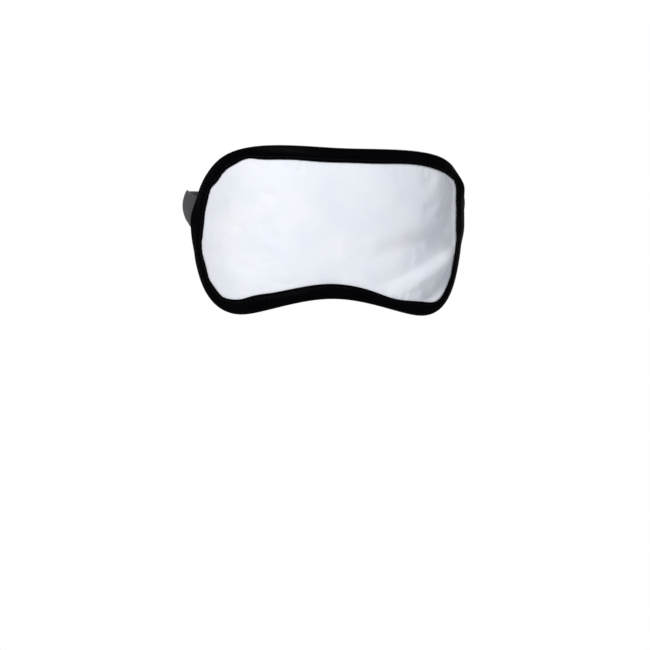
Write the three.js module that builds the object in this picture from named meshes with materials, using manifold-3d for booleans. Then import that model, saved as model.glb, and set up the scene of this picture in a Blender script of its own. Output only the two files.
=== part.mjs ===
// A padded sleep mask (eye patch) in the shape it takes when worn, with an adjustable elastic strap.
// Millimetres, +Z up. The origin is the middle of the wearer's head at the pad's mid-height, the pad faces
// -Y and the strap closes behind the head on +Y. +X is the side of the ring.
import * as THREE from "three";
import { mergeVertices } from "three/addons/utils/BufferGeometryUtils.js";
import Module from "manifold-3d";

// ---- Driving dimensions ----

// Flat pattern of the pad: the outer edge of its binding. U runs across the face, V runs up.
const PAD_HALF_WIDTH = 104.3;
const PAD_TOP = 49;
const SIDE_HEIGHT = -1.5; // V of the widest place
const LOBE_OFFSET = 56.4; // U of the lowest place of each cheek lobe
const LOBE_BOTTOM = -48.9;
const NOSE_BOTTOM = -39.5;
// How far each edge runs nearly straight out of those places, as Bezier handles.
const TOP_HANDLE = 43;
const SIDE_UPPER_HANDLE = 61;
const SIDE_LOWER_HANDLE = 15;
const LOBE_OUTER_HANDLE = 26.5;
const LOBE_INNER_HANDLE = 15;
const NOSE_HANDLE = 21;

// Worn shape: the pad bends around the face, and the strap pulls its two ends slightly up and down.
const FACE_DEPTH = 98; // from the middle of the head to the pad over the nose
const WRAP_ANGLE = 1.17; // turn of the pad from its middle to its ends, radians
const WRAP_SHAPE = 0.87; // 0 bends evenly, 1 keeps the middle and the ends flat
const END_LIFT = 4.4; // rise of the +X end, and drop of the -X end, 100 mm from the middle
const END_FLARE = 1.5; // how far the strap's sewn ends push the pad's ends off the face
const FLARE_START = 82; // U where that begins
const FLARE_FOOT = { low: -10, high: 3.5 }; // V where it begins and is full, below the strap
const FLARE_HEAD = { low: 28, high: 48 }; // V where it starts to fade and is gone, above the strap
const END_TAPER = 1.55; // the +X half is lower and the -X half is taller by this share, in percent

// Layers, as distances from the middle surface of the pad; positive is away from the face.
const GAP = 0.3; // between touching pieces
const PANEL_THICKNESS = 0.6;
const EDGE_HALF_THICKNESS = 1.3; // of the sewn stack at its edge, without the binding
const FRONT_CROWN = 2.0; // swell of the front over the foam
const BACK_CROWN = 0.9;
const CROWN_REACH = 26; // from the edge to where the pad is fully thick

// Binding: a folded tape round the whole edge, and its two threads.
const TAPE_THICKNESS = 0.7;
const TAPE_WIDTH = 8.3; // as seen on each side
const TAPE_END_EXTRA = 5; // more than that over the pad's two ends, to cover the strap's ends
const TAPE_END_START = 88; // U where the tape starts to widen
const TAPE_END_FULL = 100; // and where it is widest
const SEAM_MARGIN = 1.3; // from the tape's inner edge to its seam
const THREAD_WIDTH = 0.5;
const THREAD_HEIGHT = 0.4;

// Strap: 20 mm elastic, worn a little towards +X of the pad's middle.
const STRAP_WIDTH = 20;
const STRAP_THICKNESS = 1;
const STRAP_HEIGHT = 13.5; // V of the strap's middle where it is sewn on
const STRAP_SEWN_LENGTH = 11; // of the folded end on the back of the binding
const STRAP_END_U = 97; // U where the folded end stops, just inside the edge
const EAR_HALF_WIDTH = 88; // half the width of the strap over the ears
const EAR_SHIFT = 2;
const EAR_Y = 4;
const EAR_TILT = 3.4; // the strap lies this much higher over the +X ear and lower over the -X ear
const BACK_Y = 94; // the middle of the strap behind the head
const BACK_HEIGHT = 20.5; // Z of the strap behind the head
const EAR_LEVEL_Y = 12; // where the strap has reached its height over the ear
const STRAIGHT_HALF = 46; // half of the straight stretch behind the head

// Ring and slider, moulded in plastic.
const HARDWARE_HEIGHT = 26.5;
const SLOT_HEIGHT = 21.5;
const RING_X = 26;
const RING_BAR_SPACING = 7.2;
const RING_BAR_RADIUS = 1;
const SLIDER_X = -8;
const SLIDER_LENGTH = 18;
const SLIDER_BAR = 2.8;
const SLIDER_PLATE = 1.4; // thickness of its frame
const CENTRE_BAR = { width: 2.4, thickness: 1.4 };
const RING_FOLD_LENGTH = 14; // of the short strap's end, sewn back on itself
const LOOP_LENGTH = 12; // of the long strap's end, sewn round the slider's centre bar
const BARTACK = { height: 17, width: 2.4, thickness: 0.4 };

// Mesh density.
const TOP_SEGMENTS = 20; // along the top, and along the bottom
const SIDE_SEGMENTS = 10; // down each side
const EDGE_SEGMENTS = 2 * (TOP_SEGMENTS + SIDE_SEGMENTS);
const PLAN_STEP = 0.25; // step of the wrap's integration
const FOLD_STEPS = 5;
const BAR_SIDES = 10;

// ---- Materials ----

const fabric = (color, roughness) => new THREE.MeshStandardMaterial({ color, roughness, metalness: 0 });
const whiteSatin = fabric(0xe6ebf2, 0.55);
const blackSatin = fabric(0x08080a, 0.5);
const blackLining = fabric(0x121216, 0.9);
const foam = fabric(0xd9d6cc, 0.95);
const greyElastic = fabric(0x524f59, 0.85);
const blackThread = fabric(0x0c0c0e, 0.6);
const blackPlastic = fabric(0x101012, 0.35);

// ---- Solids from points ----

const part = new THREE.Group();

function addPiece(name, geometry, material) {
  const mesh = new THREE.Mesh(geometry, material);
  mesh.name = name;
  part.add(mesh);
  return mesh;
}

// A closed surface from points and triangles, turned so that its faces point outwards.
function solidFrom(points, triangles) {
  const corner = (i) => points[i];
  const volume = triangles.reduce(
    (sum, [a, b, c]) => sum + corner(a).dot(new THREE.Vector3().crossVectors(corner(b), corner(c))),
    0,
  );
  const facing = volume < 0 ? triangles.map(([a, b, c]) => [a, c, b]) : triangles;
  const geometry = new THREE.BufferGeometry().setFromPoints(points);
  geometry.setIndex(facing.flat());
  return geometry;
}

// A skin through sections of equal size: a closed loop, or an open run with flat ends of four points.
function loft(sections, isLoop) {
  const size = sections[0].length;
  const triangles = [];
  const runs = isLoop ? sections.length : sections.length - 1;
  for (let s = 0; s < runs; s++) {
    const here = s * size;
    const next = ((s + 1) % sections.length) * size;
    for (let i = 0; i < size; i++) {
      const j = (i + 1) % size;
      triangles.push([here + i, here + j, next + j], [here + i, next + j, next + i]);
    }
  }
  if (!isLoop) {
    const last = runs * size;
    triangles.push([0, 2, 1], [0, 3, 2]);
    triangles.push([last, last + 1, last + 2], [last, last + 2, last + 3]);
  }
  return solidFrom(sections.flat(), triangles);
}

// ---- Flat pattern ----

const flat = (u, v) => new THREE.Vector2(u, v);

// The right half of the outline, clockwise from the middle of the top to the middle of the nose notch.
function halfOutline() {
  const top = flat(0, PAD_TOP);
  const side = flat(PAD_HALF_WIDTH, SIDE_HEIGHT);
  const lobe = flat(LOBE_OFFSET, LOBE_BOTTOM);
  const nose = flat(0, NOSE_BOTTOM);
  const path = new THREE.CurvePath();
  path.add(
    new THREE.CubicBezierCurve(
      top,
      flat(TOP_HANDLE, PAD_TOP),
      flat(PAD_HALF_WIDTH, SIDE_HEIGHT + SIDE_UPPER_HANDLE),
      side,
    ),
  );
  path.add(
    new THREE.CubicBezierCurve(
      side,
      flat(PAD_HALF_WIDTH, SIDE_HEIGHT - SIDE_LOWER_HANDLE),
      flat(LOBE_OFFSET + LOBE_OUTER_HANDLE, LOBE_BOTTOM),
      lobe,
    ),
  );
  path.add(
    new THREE.CubicBezierCurve(
      lobe,
      flat(LOBE_OFFSET - LOBE_INNER_HANDLE, LOBE_BOTTOM),
      flat(NOSE_HANDLE, NOSE_BOTTOM),
      nose,
    ),
  );
  return path;
}

function fullOutline() {
  const right = halfOutline().getSpacedPoints(EDGE_SEGMENTS / 2);
  const left = right.slice(1, -1).reverse();
  return [...right, ...left.map((p) => flat(-p.x, p.y))];
}

const outline = fullOutline();
const inward = outline.map((_, k) => {
  const before = outline[(k + EDGE_SEGMENTS - 1) % EDGE_SEGMENTS];
  const after = outline[(k + 1) % EDGE_SEGMENTS];
  const along = after.clone().sub(before).normalize();
  return flat(along.y, -along.x);
});
const insetPoint = (k, inset) => outline[k].clone().addScaledVector(inward[k], inset);

function edgeDistance(point) {
  return Math.min(
    ...outline.map((start, k) => {
      const side = outline[(k + 1) % EDGE_SEGMENTS].clone().sub(start);
      const offset = point.clone().sub(start);
      const share = THREE.MathUtils.clamp(offset.dot(side) / side.lengthSq(), 0, 1);
      return offset.addScaledVector(side, -share).length();
    }),
  );
}

// ---- Worn shape ----

const turnAt = (u) => {
  const t = Math.min(u / PAD_HALF_WIDTH, 1);
  return WRAP_ANGLE * ((1 - WRAP_SHAPE) * t + WRAP_SHAPE * t * t * (3 - 2 * t));
};

// The plan of the middle surface, integrated outwards from the nose once.
const plan = [{ x: 0, y: -FACE_DEPTH }];
for (let u = PLAN_STEP; u < PAD_HALF_WIDTH + 20; u += PLAN_STEP) {
  const { x, y } = plan[plan.length - 1];
  const turn = turnAt(u - PLAN_STEP / 2);
  plan.push({ x: x + Math.cos(turn) * PLAN_STEP, y: y + Math.sin(turn) * PLAN_STEP });
}

function endFlare(u, v) {
  const out = THREE.MathUtils.smoothstep(Math.abs(u), FLARE_START, PAD_HALF_WIDTH);
  const rise = THREE.MathUtils.smoothstep(v, FLARE_FOOT.low, FLARE_FOOT.high);
  const fade = THREE.MathUtils.smoothstep(v, FLARE_HEAD.low, FLARE_HEAD.high);
  return END_FLARE * out * rise * (1 - fade);
}

// The point of the worn pad at flat place (u, v), standing off its middle surface.
function worn(u, v, offset) {
  const reach = Math.abs(u) / PLAN_STEP;
  const step = Math.floor(reach);
  const x = THREE.MathUtils.lerp(plan[step].x, plan[step + 1].x, reach - step);
  const y = THREE.MathUtils.lerp(plan[step].y, plan[step + 1].y, reach - step);
  const turn = turnAt(Math.abs(u));
  const share = u / 100;
  const z = v + END_LIFT * share ** 3 - (END_TAPER * share * v) / 100;
  const side = u < 0 ? -1 : 1;
  const lift = offset + endFlare(u, v);
  return new THREE.Vector3(side * (x + lift * Math.sin(turn)), y - lift * Math.cos(turn), z);
}

// ---- Pad layers ----

const crownAt = (distance) => THREE.MathUtils.smoothstep(distance, 0, CROWN_REACH);
const frontFace = (distance) => EDGE_HALF_THICKNESS + FRONT_CROWN * crownAt(distance);
const backFace = (distance) => -EDGE_HALF_THICKNESS - BACK_CROWN * crownAt(distance);

const LAYER_INSET = TAPE_THICKNESS + GAP;
const RING_INSETS = [LAYER_INSET, 5, 10];

// Flat places shared by every layer: rings that follow the edge, then a grid that fills the middle.
function patternGrid() {
  const points = RING_INSETS.flatMap((inset) => outline.map((_, k) => insetPoint(k, inset)));
  const lastRing = (RING_INSETS.length - 1) * EDGE_SEGMENTS;
  const ringIndex = (k) => lastRing + ((k + EDGE_SEGMENTS) % EDGE_SEGMENTS);
  const columns = TOP_SEGMENTS;
  const rows = SIDE_SEGMENTS;
  const cornerK = TOP_SEGMENTS / 2;
  const onTop = (i) => ringIndex(i - cornerK);
  const onBottom = (i) => ringIndex(cornerK + rows + columns - i);
  const onRight = (j) => ringIndex(cornerK + rows - j);
  const onLeft = (j) => ringIndex(cornerK + rows + columns + j);

  // A Coons patch between the four sides of the innermost ring.
  function inside(i, j) {
    const a = i / columns;
    const b = j / rows;
    const place = flat(0, 0);
    place.addScaledVector(points[onBottom(i)], 1 - b).addScaledVector(points[onTop(i)], b);
    place.addScaledVector(points[onLeft(j)], 1 - a).addScaledVector(points[onRight(j)], a);
    place.addScaledVector(points[onBottom(0)], -(1 - a) * (1 - b));
    place.addScaledVector(points[onBottom(columns)], -a * (1 - b));
    place.addScaledVector(points[onTop(0)], -(1 - a) * b);
    place.addScaledVector(points[onTop(columns)], -a * b);
    return place;
  }

  const grid = [];
  for (let j = 0; j <= rows; j++) {
    grid.push([]);
    for (let i = 0; i <= columns; i++) {
      if (j === rows) grid[j].push(onTop(i));
      else if (j === 0) grid[j].push(onBottom(i));
      else if (i === 0) grid[j].push(onLeft(j));
      else if (i === columns) grid[j].push(onRight(j));
      else grid[j].push(points.push(inside(i, j)) - 1);
    }
  }

  const triangles = [];
  for (let ring = 0; ring < RING_INSETS.length - 1; ring++) {
    for (let k = 0; k < EDGE_SEGMENTS; k++) {
      const outer = ring * EDGE_SEGMENTS + k;
      const outerNext = ring * EDGE_SEGMENTS + ((k + 1) % EDGE_SEGMENTS);
      const inner = outer + EDGE_SEGMENTS;
      const innerNext = outerNext + EDGE_SEGMENTS;
      triangles.push([outer, inner, innerNext], [outer, innerNext, outerNext]);
    }
  }
  for (let j = 0; j < rows; j++) {
    for (let i = 0; i < columns; i++) {
      const [a, b] = [grid[j][i], grid[j][i + 1]];
      const [d, c] = [grid[j + 1][i], grid[j + 1][i + 1]];
      triangles.push([a, b, c], [a, c, d]);
    }
  }
  return { points, triangles, distances: points.map(edgeDistance) };
}

const pattern = patternGrid();

// One layer of the pad between two offsets, each a function of the distance to the edge.
function padLayer(outerFace, innerFace) {
  const { points, triangles, distances } = pattern;
  const outer = points.map((p, i) => worn(p.x, p.y, outerFace(distances[i])));
  const inner = points.map((p, i) => worn(p.x, p.y, innerFace(distances[i])));
  const back = points.length;
  const all = [...triangles, ...triangles.map(([a, b, c]) => [back + a, back + c, back + b])];
  for (let k = 0; k < EDGE_SEGMENTS; k++) {
    const next = (k + 1) % EDGE_SEGMENTS;
    all.push([k, next, back + next], [k, back + next, back + k]);
  }
  return solidFrom([...outer, ...inner], all);
}

function addPad() {
  const frontInner = (d) => frontFace(d) - PANEL_THICKNESS;
  const backInner = (d) => backFace(d) + PANEL_THICKNESS;
  addPiece("front_panel", padLayer(frontFace, frontInner), whiteSatin);
  addPiece("foam_core", padLayer((d) => frontInner(d) - GAP, (d) => backInner(d) + GAP), foam);
  addPiece("back_lining", padLayer(backInner, backFace), blackLining);
}

// ---- Edge binding ----

function tapeWidthAt(u) {
  const share = THREE.MathUtils.smoothstep(Math.abs(u), TAPE_END_START, TAPE_END_FULL);
  return TAPE_WIDTH + TAPE_END_EXTRA * share;
}

// Sweeps round the edge the section of [inset, offset] corners that a tape of each place's width has.
const sweepEdge = (sectionOf) =>
  loft(
    outline.map((edge, k) =>
      sectionOf(tapeWidthAt(edge.x)).map(([inset, offset]) => {
        const place = insetPoint(k, inset);
        return worn(place.x, place.y, offset);
      }),
    ),
    true,
  );

const tapeOutside = (inset) => frontFace(inset) + GAP + TAPE_THICKNESS;
const tapeInside = (inset) => frontFace(inset) + GAP;
const tapeBackOutside = (inset) => backFace(inset) - GAP - TAPE_THICKNESS;
const tapeBackInside = (inset) => backFace(inset) - GAP;

function bindingSection(width) {
  const [, bend] = RING_INSETS;
  const nose = LAYER_INSET + 0.4;
  return [
    [width, tapeOutside(width)],
    [bend, tapeOutside(bend)],
    [nose, tapeOutside(nose)],
    [0.3, EDGE_HALF_THICKNESS],
    [0, 0],
    [0.3, -EDGE_HALF_THICKNESS],
    [nose, tapeBackOutside(nose)],
    [bend, tapeBackOutside(bend)],
    [width, tapeBackOutside(width)],
    [width, tapeBackInside(width)],
    [bend, tapeBackInside(bend)],
    [TAPE_THICKNESS, tapeBackInside(0)],
    [TAPE_THICKNESS, tapeInside(0)],
    [bend, tapeInside(bend)],
    [width, tapeInside(width)],
  ];
}

// A thread's section lies on a face of the tape, from offset low to offset high.
function threadSection(width, low, high) {
  const inner = width - SEAM_MARGIN + THREAD_WIDTH / 2;
  const outer = inner - THREAD_WIDTH;
  return [
    [inner, low],
    [outer, low],
    [outer, high],
    [inner, high],
  ];
}

function frontThreadSection(width) {
  const low = tapeOutside(width) + GAP;
  return threadSection(width, low, low + THREAD_HEIGHT);
}

function backThreadSection(width) {
  const high = tapeBackOutside(width) - GAP;
  return threadSection(width, high - THREAD_HEIGHT, high);
}

function addBinding() {
  addPiece("edge_binding", sweepEdge(bindingSection), blackSatin);
  addPiece("binding_thread_front", sweepEdge(frontThreadSection), blackThread);
  addPiece("binding_thread_back", sweepEdge(backThreadSection), blackThread);
}

// ---- Strap ----

// The strap's two layers on the back of the binding, as offsets of their middles.
const THREAD_TOP = tapeBackOutside(TAPE_WIDTH + TAPE_END_EXTRA) - GAP - THREAD_HEIGHT;
const UNDER_OFFSET = THREAD_TOP - GAP - STRAP_THICKNESS / 2;
const LAYER_STEP = STRAP_THICKNESS + GAP;
const OVER_OFFSET = UNDER_OFFSET - LAYER_STEP;

const planPoint = (x, y) => new THREE.Vector3(x, y, 0);
const atHeight = (points, z) => points.map((p) => p.clone().setZ(z));

// A half turn in plan, without its two end points; a positive turn is anticlockwise from above.
function halfTurn(centreX, centreY, radius, startAngle, turn) {
  const points = [];
  for (let i = 1; i < FOLD_STEPS; i++) {
    const angle = startAngle + (turn * Math.PI * i) / FOLD_STEPS;
    points.push(planPoint(centreX + radius * Math.cos(angle), centreY + radius * Math.sin(angle)));
  }
  return points;
}

// The folded end on the back of the binding: the under layer, the fold, and the layer that leaves the pad.
function sewnEnd(side) {
  const foldU = STRAP_END_U - STRAP_SEWN_LENGTH;
  const layer = (u, offset) => worn(side * u, STRAP_HEIGHT, offset).setZ(0);
  const middle = (UNDER_OFFSET + OVER_OFFSET) / 2;
  const points = [STRAP_END_U, STRAP_END_U - 5, foldU].map((u) => layer(u, UNDER_OFFSET));
  for (let i = 1; i < FOLD_STEPS; i++) {
    const angle = (Math.PI * i) / FOLD_STEPS;
    const bulge = (LAYER_STEP / 2) * Math.sin(angle);
    points.push(layer(foldU - bulge, middle + (LAYER_STEP / 2) * Math.cos(angle)));
  }
  points.push(...[foldU, foldU + 5, foldU + 10].map((u) => layer(u, OVER_OFFSET)));
  return points;
}

// From the pad round the ear to the straight stretch behind the head.
function aroundTheHead(side) {
  const start = worn(side * (STRAP_END_U + 4), STRAP_HEIGHT, OVER_OFFSET).setZ(0);
  const heading = planPoint(side * Math.cos(WRAP_ANGLE), Math.sin(WRAP_ANGLE));
  const ear = planPoint(side * EAR_HALF_WIDTH + EAR_SHIFT, EAR_Y);
  const back = planPoint(side * STRAIGHT_HALF, BACK_Y);
  const toEar = new THREE.CubicBezierCurve3(
    start,
    start.clone().addScaledVector(heading, 14),
    ear.clone().add(planPoint(0, -18)),
    ear,
  );
  const toBack = new THREE.CubicBezierCurve3(
    ear,
    ear.clone().add(planPoint(0, 50)),
    back.clone().add(planPoint(side * 26, 0)),
    back,
  );
  return [...toEar.getPoints(5), ...toBack.getPoints(14).slice(1)];
}

// The strap from its sewn end over the ear to the straight stretch, with its height at each place.
function strapBody(side) {
  const { lerp, smoothstep } = THREE.MathUtils;
  const points = [...sewnEnd(side), ...aroundTheHead(side)];
  const padHeight = worn(side * STRAP_END_U, STRAP_HEIGHT, 0).z;
  const leaveY = worn(side * STRAP_END_U, 0, 0).y;
  const earHeight = BACK_HEIGHT + side * EAR_TILT;
  return points.map((p) => {
    const height = lerp(padHeight, earHeight, smoothstep(p.y, leaveY, EAR_LEVEL_Y));
    return p.setZ(lerp(height, BACK_HEIGHT, smoothstep(p.y, EAR_LEVEL_Y, BACK_Y)));
  });
}

// A band of elastic standing on edge along plan points, with mitred bends.
function band(points) {
  const last = points.length - 1;
  const heading = (from) => points[from + 1].clone().sub(points[from]).setZ(0).normalize();
  const sections = points.map((p, i) => {
    const out = heading(Math.min(i, last - 1));
    const into = heading(Math.max(i - 1, 0));
    const along = into.clone().add(out).normalize();
    const across = planPoint(-along.y, along.x);
    const spread = STRAP_THICKNESS / 2 / along.dot(out);
    const upright = new THREE.Vector3(0, 0, STRAP_WIDTH / 2);
    const corner = (s, t) => p.clone().addScaledVector(across, s * spread).addScaledVector(upright, t);
    return [corner(1, -1), corner(1, 1), corner(-1, 1), corner(-1, -1)];
  });
  return loft(sections, false);
}

// The doubled layers behind the head: the ring's bars lie on the head's side of the strap.
const BAR_TURN = RING_BAR_RADIUS + GAP + STRAP_THICKNESS / 2;
const RING_Y = BACK_Y - BAR_TURN;
const RETURN_Y = RING_Y - BAR_TURN;
const ringBarX = (side) => RING_X + (side * RING_BAR_SPACING) / 2;
const RETURN_END_X = ringBarX(-1) - 4;
const LOOP_END_X = SLIDER_X + LOOP_LENGTH;
const LOOP_TURN = CENTRE_BAR.thickness / 2 + GAP + STRAP_THICKNESS / 2;
const CENTRE_BAR_Y = BACK_Y - LAYER_STEP - LOOP_TURN;

// Sewn to the -X end of the pad, through the slider, round the ring's near bar and a little way back.
function longStrap() {
  const barX = ringBarX(-1);
  const turn = [
    planPoint(barX, BACK_Y),
    ...halfTurn(barX, RING_Y, BAR_TURN, Math.PI / 2, -1),
    planPoint(barX, RETURN_Y),
    planPoint(RETURN_END_X, RETURN_Y),
  ];
  return band([...strapBody(-1), ...atHeight(turn, BACK_HEIGHT)]);
}

// Sewn to the +X end of the pad, round the ring's far bar and sewn to itself.
function shortStrap() {
  const barX = ringBarX(1);
  const foldY = BACK_Y - LAYER_STEP;
  const turn = [
    planPoint(barX, BACK_Y),
    ...halfTurn(barX, RING_Y, BAR_TURN, Math.PI / 2, 1),
    planPoint(barX, RETURN_Y),
    planPoint(barX + 3, THREE.MathUtils.lerp(RETURN_Y, foldY, 0.5)),
    planPoint(barX + 6, foldY),
    planPoint(barX + RING_FOLD_LENGTH, foldY),
  ];
  return band([...strapBody(1), ...atHeight(turn, BACK_HEIGHT)]);
}

// The long strap's end: folded round the slider's centre bar and sewn to the returning layer.
function endLoop() {
  const turnX = SLIDER_X - CENTRE_BAR.width / 2;
  const points = [
    planPoint(LOOP_END_X, RETURN_Y + LAYER_STEP),
    planPoint(SLIDER_X + 5, RETURN_Y + LAYER_STEP),
    planPoint(SLIDER_X + 1.5, CENTRE_BAR_Y + LOOP_TURN),
    planPoint(turnX, CENTRE_BAR_Y + LOOP_TURN),
    ...halfTurn(turnX, CENTRE_BAR_Y, LOOP_TURN, Math.PI / 2, 1),
    planPoint(turnX, CENTRE_BAR_Y - LOOP_TURN),
    planPoint(SLIDER_X + 1.5, CENTRE_BAR_Y - LOOP_TURN),
    planPoint(SLIDER_X + 5, RETURN_Y),
    planPoint(LOOP_END_X, RETURN_Y),
  ];
  return band(atHeight(points, BACK_HEIGHT));
}

function returningLayer() {
  const points = [planPoint(LOOP_END_X + GAP, RETURN_Y), planPoint(RETURN_END_X - GAP, RETURN_Y)];
  return band(atHeight(points, BACK_HEIGHT));
}

function addStrap() {
  addPiece("strap_long", longStrap(), greyElastic);
  addPiece("strap_short", shortStrap(), greyElastic);
  addPiece("strap_end_loop", endLoop(), greyElastic);
  addPiece("strap_return", returningLayer(), greyElastic);
}

// ---- Bartacks ----

// A block of stitches lying on a strap: its middle in plan, its height, and its turn about Z.
function addBartack(name, middle, height, turn) {
  const block = new THREE.BoxGeometry(BARTACK.width, BARTACK.thickness, BARTACK.height);
  block.rotateZ(turn).translate(middle.x, middle.y, height);
  addPiece(name, block, blackThread);
}

function addBartacks() {
  const standoff = STRAP_THICKNESS / 2 + GAP + BARTACK.thickness / 2;
  const padU = STRAP_END_U - STRAP_SEWN_LENGTH / 2;
  for (const [name, side] of [["left", -1], ["right", 1]]) {
    const middle = worn(side * padU, STRAP_HEIGHT, OVER_OFFSET - standoff);
    const height = worn(side * STRAP_END_U, STRAP_HEIGHT, 0).z;
    addBartack(`bartack_pad_${name}`, middle, height, side * turnAt(padU));
  }
  const ringMiddle = planPoint(ringBarX(1) + 10, BACK_Y - LAYER_STEP - standoff);
  addBartack("bartack_ring", ringMiddle, BACK_HEIGHT, 0);
  addBartack("bartack_slider", planPoint(SLIDER_X + 8, RETURN_Y - standoff), BACK_HEIGHT, 0);
}

// ---- Ring and slider ----

// A round bar bent into a rectangle with rounded corners.
function ringGeometry() {
  const halfLength = RING_BAR_SPACING / 2;
  const halfHeight = (HARDWARE_HEIGHT - 2 * RING_BAR_RADIUS) / 2;
  const bend = 1.6;
  const bendSteps = 3;
  const sections = [];
  for (let corner = 0; corner < 4; corner++) {
    const signX = corner === 0 || corner === 3 ? 1 : -1;
    const signZ = corner < 2 ? 1 : -1;
    for (let i = 0; i <= bendSteps; i++) {
      const angle = (Math.PI / 2) * (corner + i / bendSteps);
      const out = new THREE.Vector3(Math.cos(angle), 0, Math.sin(angle));
      const middle = new THREE.Vector3(signX * (halfLength - bend), 0, signZ * (halfHeight - bend));
      middle.addScaledVector(out, bend).add(new THREE.Vector3(RING_X, RING_Y, BACK_HEIGHT));
      const section = [];
      for (let j = 0; j < BAR_SIDES; j++) {
        const turn = (2 * Math.PI * j) / BAR_SIDES;
        const point = middle.clone().addScaledVector(out, RING_BAR_RADIUS * Math.cos(turn));
        section.push(point.add(planPoint(0, RING_BAR_RADIUS * Math.sin(turn))));
      }
      sections.push(section);
    }
  }
  return loft(sections, true);
}

function roundedRectangle(path, width, height, radius) {
  const [w, h] = [width / 2, height / 2];
  path.moveTo(radius - w, -h);
  path.lineTo(w - radius, -h);
  path.absarc(w - radius, radius - h, radius, -Math.PI / 2, 0);
  path.lineTo(w, h - radius);
  path.absarc(w - radius, h - radius, radius, 0, Math.PI / 2);
  path.lineTo(radius - w, h);
  path.absarc(radius - w, h - radius, radius, Math.PI / 2, Math.PI);
  path.lineTo(-w, radius - h);
  path.absarc(radius - w, radius - h, radius, Math.PI, Math.PI * 1.5);
  return path;
}

const wasm = await Module();
wasm.setup();

function solidOf(geometry) {
  const bare = new THREE.BufferGeometry().setAttribute("position", geometry.getAttribute("position"));
  const merged = mergeVertices(bare, 1e-3);
  const vertProperties = merged.getAttribute("position").array;
  const triVerts = new Uint32Array(merged.index.array);
  return new wasm.Manifold(new wasm.Mesh({ numProp: 3, vertProperties, triVerts }));
}

function geometryOf(solid) {
  const { vertProperties, triVerts } = solid.getMesh();
  const geometry = new THREE.BufferGeometry();
  geometry.setAttribute("position", new THREE.BufferAttribute(vertProperties, 3));
  return geometry.setIndex(new THREE.BufferAttribute(triVerts, 1));
}

// A flat frame over the strap, and a yoke round the strap's edges that carries the centre bar behind it.
function sliderGeometry() {
  const frameShape = roundedRectangle(new THREE.Shape(), SLIDER_LENGTH, HARDWARE_HEIGHT, 2.4);
  const slotLength = SLIDER_LENGTH - 2 * SLIDER_BAR;
  frameShape.holes.push(roundedRectangle(new THREE.Path(), slotLength, SLOT_HEIGHT, 0.6));
  const plate = { depth: SLIDER_PLATE, bevelEnabled: false, curveSegments: 4 };
  const frame = new THREE.ExtrudeGeometry(frameShape, plate);
  const plateY = STRAP_THICKNESS / 2 + GAP;
  frame.rotateX(Math.PI / 2).translate(0, plateY + SLIDER_PLATE, 0);

  const barLow = CENTRE_BAR_Y - BACK_Y - CENTRE_BAR.thickness / 2;
  const barHigh = barLow + CENTRE_BAR.thickness;
  const armTop = plateY + SLIDER_PLATE / 2;
  const [outer, inner] = [HARDWARE_HEIGHT / 2 - 0.4, SLOT_HEIGHT / 2];
  const yokeShape = new THREE.Shape(
    [
      [-outer, barLow],
      [outer, barLow],
      [outer, armTop],
      [inner, armTop],
      [inner, barHigh],
      [-inner, barHigh],
      [-inner, armTop],
      [-outer, armTop],
    ].map(([z, y]) => new THREE.Vector2(z, y)),
  );
  const yoke = new THREE.ExtrudeGeometry(yokeShape, { depth: CENTRE_BAR.width, bevelEnabled: false });
  yoke.translate(0, 0, -CENTRE_BAR.width / 2).rotateY(-Math.PI / 2);
  return geometryOf(solidOf(frame).add(solidOf(yoke))).translate(SLIDER_X, BACK_Y, BACK_HEIGHT);
}

function addHardware() {
  addPiece("strap_ring", ringGeometry(), blackPlastic);
  addPiece("strap_slider", sliderGeometry(), blackPlastic);
}

addPad();
addBinding();
addStrap();
addBartacks();
addHardware();

export default part;
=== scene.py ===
"""A padded sleep mask in the shape it takes when worn, with its elastic strap behind it.

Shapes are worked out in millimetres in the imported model's frame: +Z up, the pad facing -Y, +X on the
side of the strap's ring. mesh_piece() turns them into metres.
"""

import math
import random

import bmesh
import bpy
import numpy as np
from mathutils import Euler, Matrix, Vector


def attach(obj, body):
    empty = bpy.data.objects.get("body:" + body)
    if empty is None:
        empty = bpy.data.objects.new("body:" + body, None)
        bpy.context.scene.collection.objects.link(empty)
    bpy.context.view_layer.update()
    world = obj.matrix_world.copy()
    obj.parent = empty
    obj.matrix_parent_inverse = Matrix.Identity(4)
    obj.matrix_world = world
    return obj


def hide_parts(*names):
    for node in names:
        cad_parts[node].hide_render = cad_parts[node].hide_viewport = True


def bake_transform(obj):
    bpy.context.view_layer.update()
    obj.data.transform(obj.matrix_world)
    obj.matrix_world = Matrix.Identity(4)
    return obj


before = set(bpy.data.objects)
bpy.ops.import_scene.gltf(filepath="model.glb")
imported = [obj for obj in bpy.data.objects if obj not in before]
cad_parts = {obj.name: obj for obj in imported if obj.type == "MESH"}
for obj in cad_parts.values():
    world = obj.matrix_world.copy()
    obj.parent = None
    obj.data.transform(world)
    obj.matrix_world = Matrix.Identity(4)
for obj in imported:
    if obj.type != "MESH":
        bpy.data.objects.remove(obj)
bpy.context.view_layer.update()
scene = bpy.context.scene
MM = 0.001
UP = np.array([0, 0, 1.0])

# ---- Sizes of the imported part, in millimetres ----

PAD_HALF_WIDTH = 104.3
PAD_TOP = 49.0
SIDE_HEIGHT = -1.5
LOBE_OFFSET = 56.4
LOBE_BOTTOM = -48.9
NOSE_BOTTOM = -39.5
TOP_HANDLE = 43.0
SIDE_UPPER_HANDLE = 61.0
SIDE_LOWER_HANDLE = 15.0
LOBE_OUTER_HANDLE = 26.5
LOBE_INNER_HANDLE = 15.0
NOSE_HANDLE = 21.0

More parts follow.
